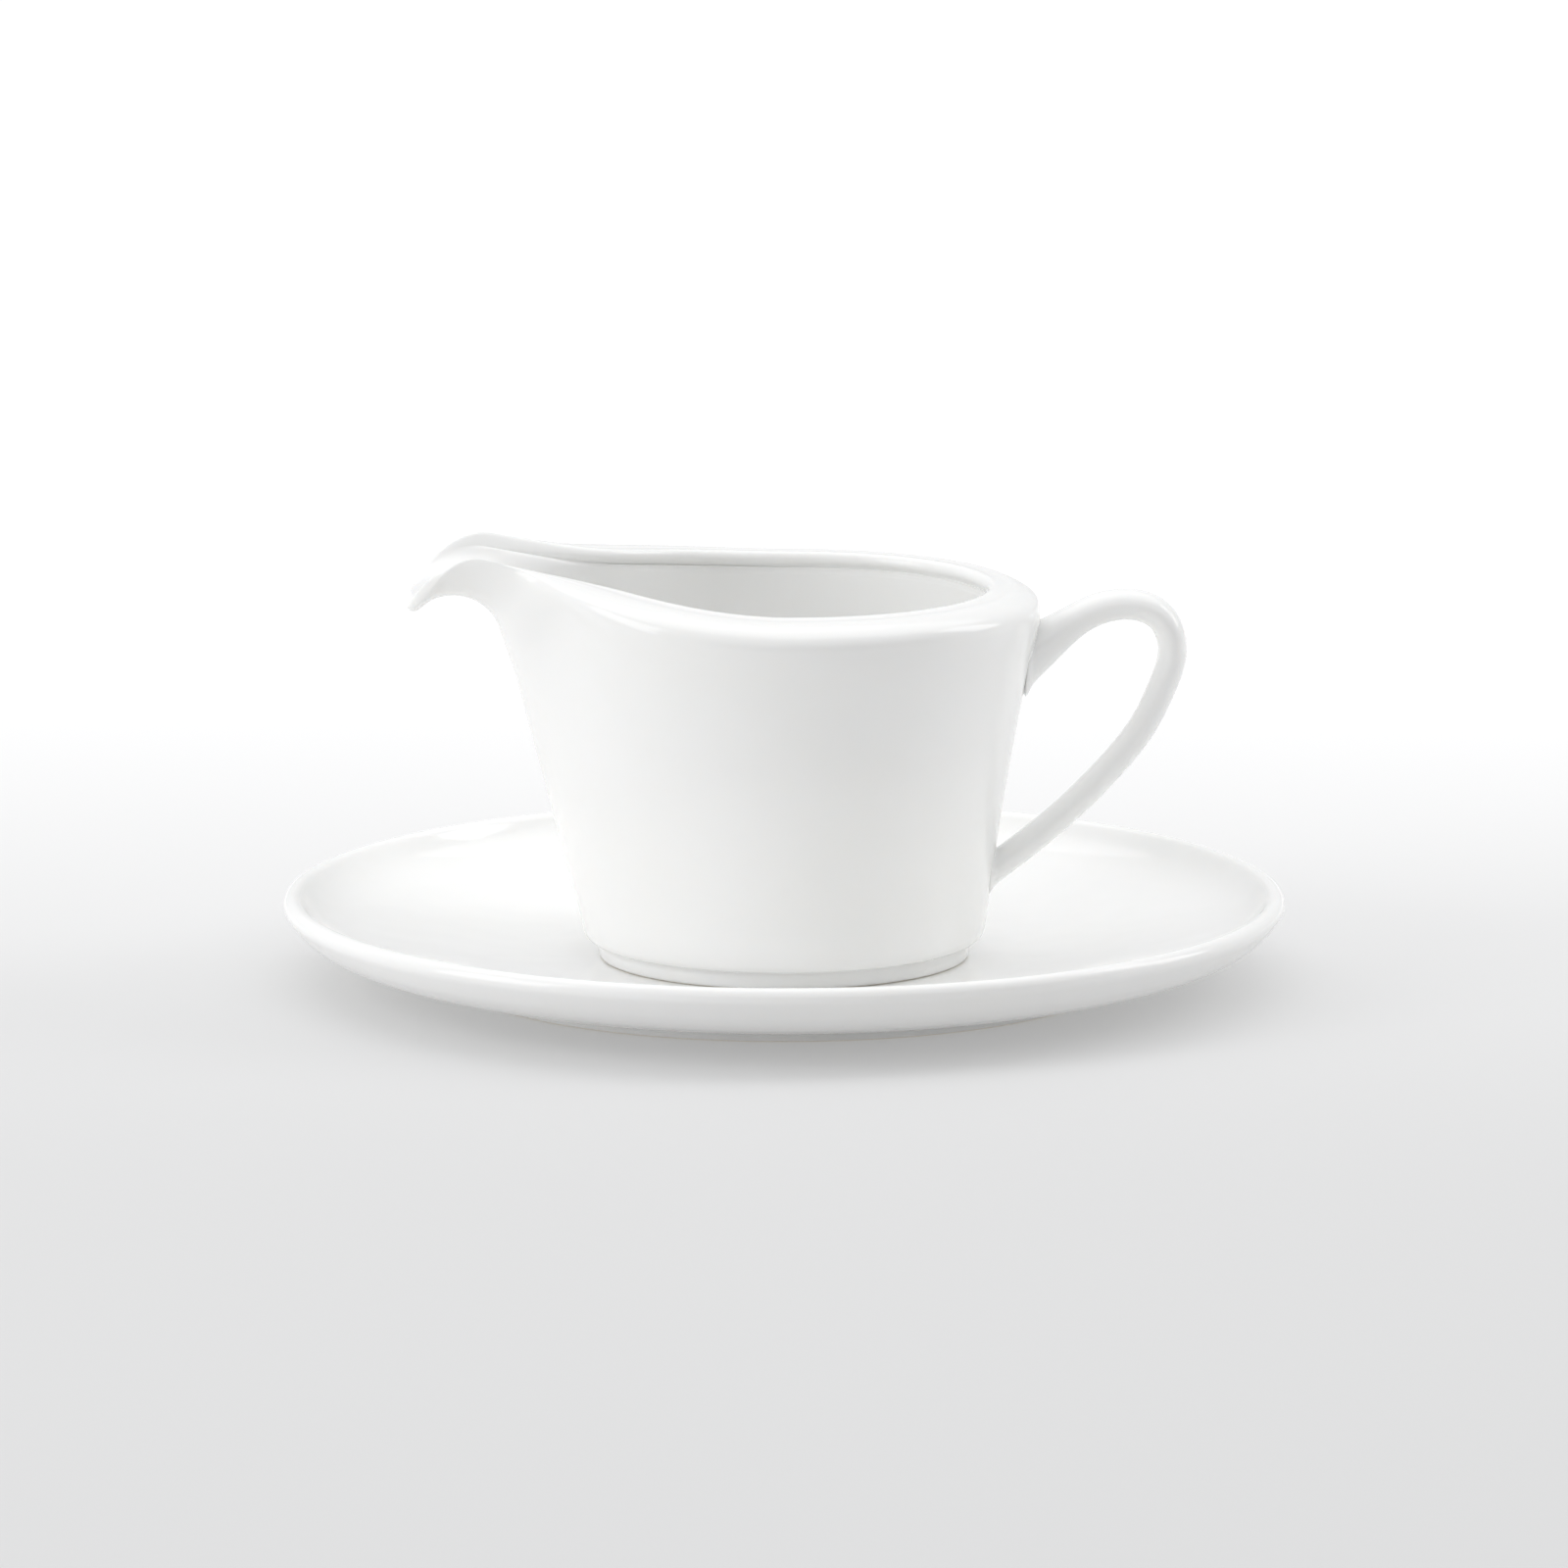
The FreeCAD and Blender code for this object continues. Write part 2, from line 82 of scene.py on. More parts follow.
def skin_piece(name, rows):
    """A closed-round skin from rows of points in millimetres; a row of one point is a closed pole."""
    vertices = []
    starts = []
    for row in rows:
        starts.append(len(vertices))
        vertices.extend(tuple(c * MILLIMETRE for c in point) for point in row)
    faces = []
    for low, high, a, b in zip(rows, rows[1:], starts, starts[1:]):
        around = max(len(low), len(high))
        for i in range(around):
            j = (i + 1) % around
            if len(low) == 1:
                faces.append((a, b + j, b + i))
            elif len(high) == 1:
                faces.append((a + i, a + j, b))
            else:
                faces.append((a + i, a + j, b + j, b + i))
    mesh = bpy.data.meshes.new(name)
    mesh.from_pydata(vertices, [], faces)
    work = bmesh.new()
    work.from_mesh(mesh)
    bmesh.ops.remove_doubles(work, verts=work.verts, dist=WELD_DISTANCE)
    bmesh.ops.recalc_face_normals(work, faces=work.faces)
    if work.calc_volume(signed=True) < 0.0:
        bmesh.ops.reverse_faces(work, faces=work.faces)
    work.to_mesh(mesh)
    work.free()
    mesh.polygons.foreach_set("use_smooth", [True] * len(mesh.polygons))
    mesh.update()
    piece = bpy.data.objects.new(name, mesh)
    bpy.context.scene.collection.objects.link(piece)
    return piece


def lathe_rows(profile, columns):
    """Rows turned about the axis from (radius, height) points; a radius of nought is a pole."""
    turns = [2.0 * math.pi * i / columns for i in range(columns)]
    rows = []
    for radius, height in profile:
        if radius == 0.0:
            rows.append([(0.0, 0.0, height)])
        else:
            rows.append([(radius * math.cos(t), radius * math.sin(t), height) for t in turns])
    return rows


def linear_colour(text):
    """sRGB hex to a linear colour."""
    values = [int(text[i:i + 2], 16) / 255.0 for i in (0, 2, 4)]
    linear = [v / 12.92 if v <= 0.04045 else ((v + 0.055) / 1.055) ** 2.4 for v in values]
    return (linear[0], linear[1], linear[2], 1.0)


def add_node(tree, kind, settings=None, links=None):
    """One shader node with its settings, socket values and links."""
    node = tree.nodes.new(kind)
    for key, value in (settings or {}).items():
        if isinstance(key, str) and hasattr(node, key):
            setattr(node, key, value)
        else:
            node.inputs[key].default_value = value
    for key, source in (links or {}).items():
        tree.links.new(source, node.inputs[key])
    return node


def glazed_china(name, bare_below):
    """Glazed bone china, shaped and fired: clear lead-free gloss over a slightly translucent white body.
    The glaze lies in long soft waves with a faint orange peel, has a few specks, and stops at the resting
    face of the foot (under the height bare_below, in metres), which shows matt bisque."""
    # Repeats along a metre: the tone drifts over 45 mm and the glaze waves over 17 mm; its peel is 1.5 mm
    # wide and the bisque's grain 0.4 mm. A cell is 10.5 mm, and few hold a speck, under 0.4 mm in radius.
    drifts_per_metre = 22.0
    waves_per_metre = 60.0
    peel_per_metre = 650.0
    grains_per_metre = 2600.0
    cells_per_metre = 95.0
    speck_edge = 0.035
    speck_core = 0.02
    cells_without_speck = 0.985
    glazed_roughness = 0.07
    bare_roughness = 0.62
    glaze_colour = linear_colour("FBFBFA")
    pooled_colour = linear_colour("F8F8F5")
    speck_colour = linear_colour("B9AE9C")
    bisque_colour = linear_colour("ECE6DA")
    material = bpy.data.materials.new(name)
    material.use_nodes = True
    tree = material.node_tree
    tree.nodes.clear()
    place = add_node(tree, "ShaderNodeTexCoord").outputs["Object"]
    clouds = add_node(tree, "ShaderNodeTexNoise",
                      {"Scale": drifts_per_metre, "Detail": 3.0, "Roughness": 0.5}, {"Vector": place})
    waves = add_node(tree, "ShaderNodeTexNoise",
                     {"Scale": waves_per_metre, "Detail": 1.0, "Roughness": 0.4}, {"Vector": place})
    peel = add_node(tree, "ShaderNodeTexNoise",
                    {"Scale": peel_per_metre, "Detail": 2.0, "Roughness": 0.5}, {"Vector": place})
    grain = add_node(tree, "ShaderNodeTexNoise",
                     {"Scale": grains_per_metre, "Detail": 3.0, "Roughness": 0.7}, {"Vector": place})
    cells = add_node(tree, "ShaderNodeTexVoronoi",
                     {"Scale": cells_per_metre, "Randomness": 1.0}, {"Vector": place})
    speck = add_node(tree, "ShaderNodeMapRange",
                     {"From Min": speck_edge, "From Max": speck_core, "To Min": 0.0, "To Max": 1.0},
                     {"Value": cells.outputs["Distance"]})
    rare = add_node(tree, "ShaderNodeSeparateColor", {}, {"Color": cells.outputs["Color"]})
    chosen = add_node(tree, "ShaderNodeMath", {"operation": "GREATER_THAN", 1: cells_without_speck},
                      {0: rare.outputs["Red"]})
    spots = add_node(tree, "ShaderNodeMath", {"operation": "MULTIPLY"},
                     {0: speck.outputs["Result"], 1: chosen.outputs[0]})
    tone = add_node(tree, "ShaderNodeMapRange",
                    {"From Min": 0.35, "From Max": 0.65, "To Min": 0.0, "To Max": 0.5},
                    {"Value": clouds.outputs["Fac"]})
    body = add_node(tree, "ShaderNodeMix", {"data_type": "RGBA", 6: glaze_colour, 7: pooled_colour},
                    {"Factor": tone.outputs["Result"]})
    spotted = add_node(tree, "ShaderNodeMix", {"data_type": "RGBA", 7: speck_colour},
                       {"Factor": spots.outputs[0], 6: body.outputs[2]})
    height = add_node(tree, "ShaderNodeSeparateXYZ", {}, {"Vector": place})
    bare = add_node(tree, "ShaderNodeMath", {"operation": "LESS_THAN", 1: bare_below},
                    {0: height.outputs["Z"]})
    colour = add_node(tree, "ShaderNodeMix", {"data_type": "RGBA", 7: bisque_colour},
                      {"Factor": bare.outputs[0], 6: spotted.outputs[2]})
    gloss = add_node(tree, "ShaderNodeMix", {"data_type": "FLOAT", 2: glazed_roughness, 3: bare_roughness},
                     {0: bare.outputs[0]})
    bumps = add_node(tree, "ShaderNodeBump", {"Strength": 0.35, "Distance": 0.00035},
                     {"Height": waves.outputs["Fac"]})
    fine = add_node(tree, "ShaderNodeBump", {"Strength": 0.12, "Distance": 0.00003},
                    {"Height": peel.outputs["Fac"], "Normal": bumps.outputs["Normal"]})
    biscuit = add_node(tree, "ShaderNodeMath", {"operation": "MULTIPLY"},
                       {0: grain.outputs["Fac"], 1: bare.outputs[0]})
    rough = add_node(tree, "ShaderNodeBump", {"Strength": 0.5, "Distance": 0.00006},
                     {"Height": biscuit.outputs[0], "Normal": fine.outputs["Normal"]})
    shader = add_node(tree, "ShaderNodeBsdfPrincipled",
                      {"IOR": 1.52, "Subsurface Weight": 0.2, "Subsurface Radius": (1.0, 0.92, 0.84),
                       "Subsurface Scale": 0.0014},
                      {"Base Color": colour.outputs[2], "Roughness": gloss.outputs[0],
                       "Normal": rough.outputs["Normal"]})
    add_node(tree, "ShaderNodeOutputMaterial", {}, {"Surface": shader.outputs["BSDF"]})
    return material


def mix(a, b, share):
    return a + (b - a) * share


skin_inset = 0.02
saucer_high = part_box("saucer")[1]
saucer_radius = saucer_high[0] * METRE - skin_inset
saucer_height = saucer_high[2] * METRE - skin_inset
saucer_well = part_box("boat_body")[0][2] * METRE
saucer_lip_half = 2.4
saucer_lip_share = 0.4
well_radius = 58.0
turn_up_radius = saucer_radius - 12.0
turn_up_height = 8.0
saucer_foot_radius = saucer_radius - 39.0
saucer_foot_height = 3.0
saucer_underside = 1.4
saucer_columns = 192
saucer_lip_steps = 16
saucer_slope_steps = 6
bare_height = 0.0003
lip_middle = (saucer_radius - saucer_lip_half, saucer_height - saucer_lip_half)
saucer_lip = arc_points(lip_middle, saucer_lip_half, 128.0, -24.0, saucer_lip_steps)
# The top as (share from well to turn-up, share of its rise), then the underside as (share from foot to lip,
# share of its rise), then the foot ring as (distance out from its edge, height).
saucer_slope = [(mix(well_radius, turn_up_radius, share), saucer_well + turn_up_height * rise)
                for share, rise in ((0.0, 0.0), (0.26, 0.094), (0.52, 0.319), (0.8, 0.65), (1.0, 1.0))]
saucer_slope += [(mix(turn_up_radius, saucer_radius, saucer_lip_share),
                  mix(saucer_well + turn_up_height, saucer_height, saucer_lip_share)), saucer_lip[0]]
saucer_belly = [(mix(saucer_foot_radius, saucer_radius, share), mix(saucer_foot_height, saucer_height, rise))
                for share, rise in ((0.897, 0.54), (0.588, 0.23), (0.277, 0.075), (0.055, 0.006))]
saucer_foot = [(r + saucer_foot_radius, z) for r, z in
               ((0.6, 2.75), (0.1, 2.3), (0.0, 1.6), (-0.05, 0.9), (-0.3, 0.35), (-0.8, 0.05), (-1.4, 0.0),
                (-3.2, 0.0), (-3.9, 0.08), (-4.3, 0.45), (-4.5, 1.0), (-4.8, 1.25), (-5.6, saucer_underside))]
saucer_profile = [(r, saucer_well) for r in (0.0, 20.0, 40.0, 52.0)]
saucer_profile += [tuple(p) for p in spline_rows(saucer_slope, saucer_slope_steps)[:-1]] + saucer_lip
saucer_profile += [tuple(p) for p in spline_rows([saucer_lip[-1]] + saucer_belly, saucer_slope_steps)[1:]]
saucer_profile += saucer_foot + [(r, saucer_underside) for r in (60.0, 40.0, 20.0, 0.0)]
saucer_piece = skin_piece("saucer_china", lathe_rows(saucer_profile[::-1], saucer_columns))
saucer_piece.data.materials.append(glazed_china("glazed_bone_china_turned", bare_height))
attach(saucer_piece, "saucer")
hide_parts("saucer")

# ---------------------------------------------------------------- boat body
# Slip-cast bone china: a round bowl flaring to a thick rim that turns in as a domed collar. At the spout
# the wall runs out straight and curls over to a drooping lip between two raised wings.
boat_wall = 3.2
base_radius = 48.2
shoulder_radius = 61.4
wall_sag = 0.9
base_height = 4.2
base_round = 3.0
base_flat = 2.0
floor_round = 9.0
floor_flat = 3.0
rim_height = 89.8
shoulder_height = rim_height - 6.2
collar_width = 13.8
collar_fullness = 2.7
collar_start = 0.15
collar_from = shoulder_height - 34.0
collar_to = shoulder_height - 14.0
inner_start = 5.0
inner_depth = 40.0
handle_side_widening = 3.6
spout_slope = 0.262
spout_half_width = 22.0
spout_bluntness = 5.0
blend_outside = 5.0
blend_inside = 3.4
spout_start_height = 46.0
spout_full_height = shoulder_height - 6.0
spout_rise = 10.4
spout_rise_span = 76.0
spout_rise_power = 1.6
level_from = 26.0
level_to = 64.0
level_share = 0.75
lip_length = 17.0
lip_drop_power = 2.2
curl_radius = 11.3
curl_setout = 12.6
curl_start = 165.0
curl_end = 42.0
curl_height = rim_height - 12.9
curl_lead = 8.8
first_height = base_height + base_round
curl_centre = (base_radius + spout_slope * (curl_height - first_height) + curl_setout, curl_height)
wall_steps = 8
collar_steps = 6
rim_turns = (45.0, 90.0, 135.0)
start_points = 3


def ease(value, low, high):
    """0 below low, 1 above high, and smooth between them."""
    share = min(max((value - low) / (high - low), 0.0), 1.0)
    return share * share * (3.0 - 2.0 * share)


def wall_radius(height):
    """Outside radius of the round bowl at a height above its foot."""
    share = (height - first_height) / (shoulder_height - first_height)
    return mix(base_radius, shoulder_radius, share) - 4.0 * wall_sag * share * (1.0 - share)


def bowl_outside():
    """The round bowl's outside from above its base to the top of the rim, as (radius, height)."""
    heights = [mix(first_height, shoulder_height, step / wall_steps) for step in range(wall_steps + 1)]
    points = [(wall_radius(height), height) for height in heights]
    for step in range(1, collar_steps + 1):
        turn = math.radians(90.0 * step / collar_steps)
        radius = shoulder_radius - collar_width * (1.0 - math.cos(turn) ** (2.0 / collar_fullness))
        points.append((radius, mix(shoulder_height, rim_height, math.sin(turn) ** (2.0 / collar_fullness))))
    return points


def spout_outside():
    """The spout's mid-plane outside, matched point for point to the bowl's: straight, then curled over."""
    top = curl_height - curl_lead
    heights = [mix(first_height, top, step / (wall_steps - 1)) for step in range(wall_steps)]
    points = [(base_radius + spout_slope * (height - first_height), height) for height in heights]
    return points + arc_points(curl_centre, curl_radius, curl_start, curl_end, collar_steps)


def moved_in(points, distance):
    """The outline moved square to itself, towards the inside of the wall."""
    moved = []
    for i, (radius, height) in enumerate(points):
        before = points[max(i - 1, 0)]
        after = points[min(i + 1, len(points) - 1)]
        length = math.hypot(after[0] - before[0], after[1] - before[1])
        moved.append((radius - (after[1] - before[1]) / length * distance,
                      height + (after[0] - before[0]) / length * distance))
    return moved


def bowl_inside(outside):
    """The bowl's inside: one wall in from the outside, eased out to the solid collar under the rim."""
    plain = moved_in(outside[:wall_steps + 1], boat_wall)
    edge = outside[-1][0] - boat_wall / 2.0
    for step in range(1, collar_steps + 1):
        height = mix(plain[wall_steps][1], rim_height - boat_wall, step / collar_steps)
        plain.append((plain[wall_steps][0], height))
    return [(mix(edge, radius, ease(rim_height - height, inner_start, inner_depth)), height)
            for radius, height in plain]


def whole_outline(outside, inside):
    """Base, outside, half-round rim edge, inside and floor corner, in one run."""
    corner = outside[0][0]
    turned = base_round * (1.0 - math.sqrt(0.5))
    start = [(corner - base_round - base_flat, base_height), (corner - base_round, base_height),
             (corner - turned, base_height + turned)]
    last, inner_last = outside[-1], inside[-1]
    middle = ((last[0] + inner_last[0]) / 2.0, (last[1] + inner_last[1]) / 2.0)
    across = ((last[0] - inner_last[0]) / boat_wall, (last[1] - inner_last[1]) / boat_wall)
    along = (-across[1], across[0])
    if along[0] * (last[0] - outside[-2][0]) + along[1] * (last[1] - outside[-2][1]) < 0.0:
        along = (across[1], -across[0])
    edge = []
    for degrees in rim_turns:
        c = math.cos(math.radians(degrees)) * boat_wall / 2.0
        s = math.sin(math.radians(degrees)) * boat_wall / 2.0
        edge.append((middle[0] + across[0] * c + along[0] * s, middle[1] + across[1] * c + along[1] * s))
    floor = base_height + boat_wall
    corner_in = inside[1][0]
    turned = floor_round * (1.0 - math.sqrt(0.5))
    finish = [(corner_in - turned, floor + turned), (corner_in - floor_round, floor),
              (corner_in - floor_round - floor_flat, floor)]
    return start + outside + edge + inside[1:][::-1] + finish


def spout_plan(angle, radius, reach, half_width, blend):
    """Plan radius of a ring: a circle that runs out into a blunt, nearly parallel-sided spout."""
    if reach <= radius + 0.01:
        return radius
    span = (reach ** blend - radius ** blend) ** (1.0 / blend)
    side = math.sin(min(angle, math.pi / 2.0)) / half_width
    front = max(math.cos(angle), 0.0) / span
    channel = (side ** spout_bluntness + front ** spout_bluntness) ** (-1.0 / spout_bluntness)
    return (radius ** blend + ((1.0 + math.cos(angle)) / 2.0) ** 3 * channel ** blend) ** (1.0 / blend)


def ring_point(angle, side, bowl, spout, inward):
    """One point of the skin: the bowl's and the spout's outlines blended by the angle from the spout."""
    radius, height = bowl
    reach, reach_height = spout
    raised = min(max(height / shoulder_height, 0.0), 1.0)
    upright = mix(base_radius, shoulder_radius, raised) - boat_wall * inward
    collar = ease((upright - radius) / collar_width, collar_start, 1.0)
    collar *= ease(height, collar_from, collar_to)
    radius += handle_side_widening * collar * ((1.0 - math.cos(angle)) / 2.0) ** 2
    narrow = ease(height, spout_start_height, spout_full_height)
    wide = mix(radius, reach, ((1.0 + math.cos(angle)) / 2.0) ** 2)
    half_width = spout_half_width - boat_wall * inward
    blend = mix(blend_outside, blend_inside, inward)
    plan = mix(wide, spout_plan(angle, radius, reach, half_width, blend), narrow)
    x = -plan * math.cos(angle)
    towards = max(-x, 0.0)

    def lifted(distance):
        level = ease(distance, level_from, level_to) * level_share
        rise = spout_rise * (distance / spout_rise_span) ** spout_rise_power
        return mix(height, mix(height, rim_height - boat_wall * inward, level) + rise, narrow)

    along = min(max((towards - reach + lip_length) / lip_length, 0.0), 1.0)
    z = lifted(towards) + (reach_height - lifted(reach)) * along ** lip_drop_power
    return (x, side * plan * math.sin(angle), z)


angle_steps = 900
spout_crowding = 1.8
gather_height = shoulder_height - 14.0


def column_angles(per_side):
    """Angles on one side, close together round the spout and even round the bowl."""
    outer = bowl_outside()[-3][0]
    reach = spout_outside()[-2][0]
    angles = [math.pi * i / angle_steps for i in range(angle_steps + 1)]
    travelled = [0.0]
    for pair in zip(angles, angles[1:]):
        ends = []
        for angle in pair:
            plan = spout_plan(angle, outer, reach, spout_half_width, blend_outside)
            ends.append((-plan * math.cos(angle), plan * math.sin(angle)))
        crowding = 1.0 + spout_crowding * ease(-ends[0][0], level_from, level_to)
        travelled.append(travelled[-1] + math.dist(*ends) * crowding)
    wanted = np.linspace(0.0, travelled[-1], per_side + 1)
    return list(np.interp(wanted, travelled, angles))


def boat_rows(per_side, steps):
    """The boat's whole skin, from the base round the outside, over the rim and down to the floor."""
    bowl_side = bowl_outside()
    spout_side = spout_outside()
    bowl = whole_outline(bowl_side, bowl_inside(bowl_side))
    spout = whole_outline(spout_side, moved_in(spout_side, boat_wall))
    outer_count = start_points + len(bowl_side)
    edge_steps = len(rim_turns) + 1
    levels = [(*bowl[k], *spout[k], min(max((k - outer_count + 1) / edge_steps, 0.0), 1.0))
              for k in range(len(bowl))]
    tight = column_angles(per_side)
    columns = [(j, 1.0) for j in range(per_side + 1)] + [(j, -1.0) for j in range(per_side - 1, 0, -1)]
    rows = []
    for radius, height, reach, reach_height, inward in spline_rows(levels, steps):
        gather = ease(height, 0.0, gather_height)
        inward = min(max(inward, 0.0), 1.0)
        row = []
        for j, side in columns:
            angle = mix(math.pi * j / per_side, tight[j], gather)
            row.append(ring_point(angle, side, (radius, height), (reach, reach_height), inward))
        rows.append(row)
    return rows


boat_columns = 84
skin_steps = 4
foot_top_radius = 44.6
base_rows_skipped = 6
floor_radii = (26.0, 14.0, 5.0, 0.0)
foot_profile = [(0.0, 3.6), (15.0, 3.6), (30.0, 3.6), (38.6, 3.5), (40.3, 3.2), (40.8, 2.4), (40.9, 0.9),
                (41.1, 0.3), (41.6, 0.0), (43.7, 0.0), (44.2, 0.25), (44.5, 0.8), (44.5, 2.6), (44.5, 3.9)]


def rows_from_spout(profile):
    """Turned rows that start at the spout, as the skin's own rows do."""
    return [[(-x, y, z) for x, y, z in row] for row in lathe_rows(profile, boat_columns * 2)]


boat_skin = boat_rows(boat_columns, skin_steps)
floor_level = boat_skin[-1][0][2]
boat_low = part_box("boat_body")[0][2] * METRE
# One row just outside the foot ring stands for the skin's first rows, which would run into the ring.
base_inner_radius = base_radius - base_round - base_flat
base_row = [(x * foot_top_radius / base_inner_radius, y * foot_top_radius / base_inner_radius, z)
            for x, y, z in boat_skin[0]]
all_rows = rows_from_spout(foot_profile) + [base_row] + boat_skin[base_rows_skipped:]
all_rows += rows_from_spout([(r, floor_level) for r in floor_radii])
body_piece = skin_piece("boat_china", [[(x, y, z + boat_low) for x, y, z in row] for row in all_rows])
boat_bare_below = saucer_well * MILLIMETRE + bare_height
body_piece.data.materials.append(glazed_china("glazed_bone_china_cast", boat_bare_below))
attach(body_piece, "boat")
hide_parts("boat_body")

# ---------------------------------------------------------------- handle
# A bent oval rod, pressed in its own mould and stuck on with slip before firing: it widens into the wall
# at both ends, where the glaze has run into a small soft fillet.
top_joint = 71.4
low_joint = 19.6
joint_sink = 1.4
# The centre line as (share of the way from the top joint to the low one, distance out from that line).
loop_shape = [(-0.13, 5.9), (-0.264, 13.0), (-0.335, 21.5), (-0.31, 29.9), (-0.18, 34.3),
              (0.0, 33.7), (0.196, 30.8), (0.419, 24.6), (0.63, 17.0)]
rod_thickness = 6.7
crown_thickness = 7.8
crown_end = 0.6
rod_breadth = 10.4
top_flare = 18.0
low_flare = 9.6
joint_breadth = 12.4
flare_share = 0.16
glaze_fillet = 1.5
fillet_depth = 0.4
spine_steps = 40
rod_stations = 180
rod_sides = 64
station_crowding = 0.8
tangent_reach = 0.8
never_bare = -1.0


def loop_centres():
    """The rod's centre line, both ends sunk a little into the wall."""
    top = np.array((wall_radius(top_joint) - joint_sink, top_joint))
    low = np.array((wall_radius(low_joint) - joint_sink, low_joint))
    down = low - top
    out = np.array((-down[1], down[0])) / np.linalg.norm(down)
    between = [tuple(top + down * share + out * distance) for share, distance in loop_shape]
    return [tuple(top)] + between + [tuple(low)]


def flared(share, top, middle, low):
    """A size along the rod that grows from its middle value towards either joint."""
    near_top = max(1.0 - share / flare_share, 0.0)
    near_low = max(1.0 - (1.0 - share) / flare_share, 0.0)
    return middle + (top - middle) * near_top ** 2 + (low - middle) * near_low ** 2


def rod_rows():
    """Rings along the loop. Near a joint they turn parallel to the wall, follow it and take a fillet."""
    spine = np.array(spline_rows(loop_centres(), spine_steps))
    run = np.concatenate([[0.0], np.cumsum(np.sqrt((np.diff(spine, axis=0) ** 2).sum(axis=1)))])
    lean = math.atan((shoulder_radius - base_radius) / (shoulder_height - base_height))
    wall_out = np.array([math.cos(lean), -math.sin(lean)])

    def spine_at(place):
        return np.array([np.interp(place, run, spine[:, k]) for k in (0, 1)])

    rows = []
    for station in range(rod_stations + 1):
        even = 1.0 - 2.0 * (station / rod_stations)
        share = 0.5 - 0.5 * math.copysign(abs(even) ** station_crowding, even)
        here = run[-1] * share
        centre = spine_at(here)
        ahead = spine_at(min(here + tangent_reach, run[-1]))
        behind = spine_at(max(here - tangent_reach, 0.0))
        tangent = (ahead - behind) / np.linalg.norm(ahead - behind)
        facing = wall_out * (1.0 if share < 0.5 else -1.0)
        turned = max(1.0 - min(share, 1.0 - share) / flare_share, 0.0)
        normal = tangent * (1.0 - turned) + facing * turned
        normal /= np.linalg.norm(normal)
        outward = (-normal[1], normal[0])
        rod = mix(crown_thickness, rod_thickness, ease(share, 0.0, crown_end))
        clear = (centre[0] - wall_radius(centre[1])) * math.cos(lean)
        near = min(max((glaze_fillet - clear) / glaze_fillet, 0.0), 1.0)
        fillet = glaze_fillet * (1.0 - math.sqrt(1.0 - near * near)) * (1.0 if clear > -fillet_depth else 0.0)
        thick = flared(share, top_flare, rod, low_flare) + 2.0 * fillet
        broad = flared(share, joint_breadth, rod_breadth, joint_breadth) + 2.0 * fillet
        row = []
        for side in range(rod_sides):
            turn = 2.0 * math.pi * side / rod_sides
            y = math.cos(turn) * broad / 2.0
            bend = turned * y * y / (2.0 * wall_radius(centre[1]))
            row.append((centre[0] + outward[0] * math.sin(turn) * thick / 2.0 - bend, y,
                        centre[1] + outward[1] * math.sin(turn) * thick / 2.0 + boat_low))
        rows.append(row)
    return [[tuple(np.mean(rows[0], axis=0))]] + rows + [[tuple(np.mean(rows[-1], axis=0))]]


handle_piece = skin_piece("handle_china", rod_rows())
handle_piece.data.materials.append(glazed_china("glazed_bone_china_pressed", never_bare))
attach(handle_piece, "boat")
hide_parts("boat_handle")

# ---------------------------------------------------------------- floor, light and camera
# A wide pale floor, three broad diffusers and a soft white surround with one dark flag, low in front
# and to the right, that shades the middle of the bowl's wall. All of it is seen through a long lens.
floor_half = 6.0
floor_height = -0.0002
floor_corners = [(-floor_half, -floor_half), (floor_half, -floor_half),
                 (floor_half, floor_half), (-floor_half, floor_half)]
floor_mesh = bpy.data.meshes.new("studio_floor")
floor_mesh.from_pydata([(x, y, floor_height) for x, y in floor_corners], [], [(0, 1, 2, 3)])
floor = bpy.data.objects.new("studio_floor", floor_mesh)
bpy.context.scene.collection.objects.link(floor)
# Matt white paper with a fibre of about 1 mm, given a painted glow: it emits light like a light table, weaker
# in front and more so further back.
glowing_floor_paper = bpy.data.materials.new("white_paper_floor_painted_glow")
glowing_floor_paper.use_nodes = True
paper_tree = glowing_floor_paper.node_tree
paper_tree.nodes.clear()
paper_place = add_node(paper_tree, "ShaderNodeTexCoord").outputs["Object"]
paper_fibre = add_node(paper_tree, "ShaderNodeTexNoise", {"Scale": 900.0, "Detail": 4.0},
                       {"Vector": paper_place})
paper_bump = add_node(paper_tree, "ShaderNodeBump", {"Strength": 0.1, "Distance": 0.0001},
                      {"Height": paper_fibre.outputs["Fac"]})
paper_along = add_node(paper_tree, "ShaderNodeSeparateXYZ", {}, {"Vector": paper_place})
paper_glow = add_node(paper_tree, "ShaderNodeMapRange",
                      {"interpolation_type": "SMOOTHSTEP", "From Min": -0.3, "From Max": 0.9, "To Min": 0.20,
                       "To Max": 0.60}, {"Value": paper_along.outputs["Y"]})
paper_shader = add_node(paper_tree, "ShaderNodeBsdfPrincipled",
                        {"Roughness": 0.9, "Base Color": (0.5, 0.5, 0.5, 1.0),
                         "Emission Color": (1.0, 1.0, 1.0, 1.0)},
                        {"Normal": paper_bump.outputs["Normal"],
                         "Emission Strength": paper_glow.outputs["Result"]})
add_node(paper_tree, "ShaderNodeOutputMaterial", {}, {"Surface": paper_shader.outputs["BSDF"]})
floor_mesh.materials.append(glowing_floor_paper)


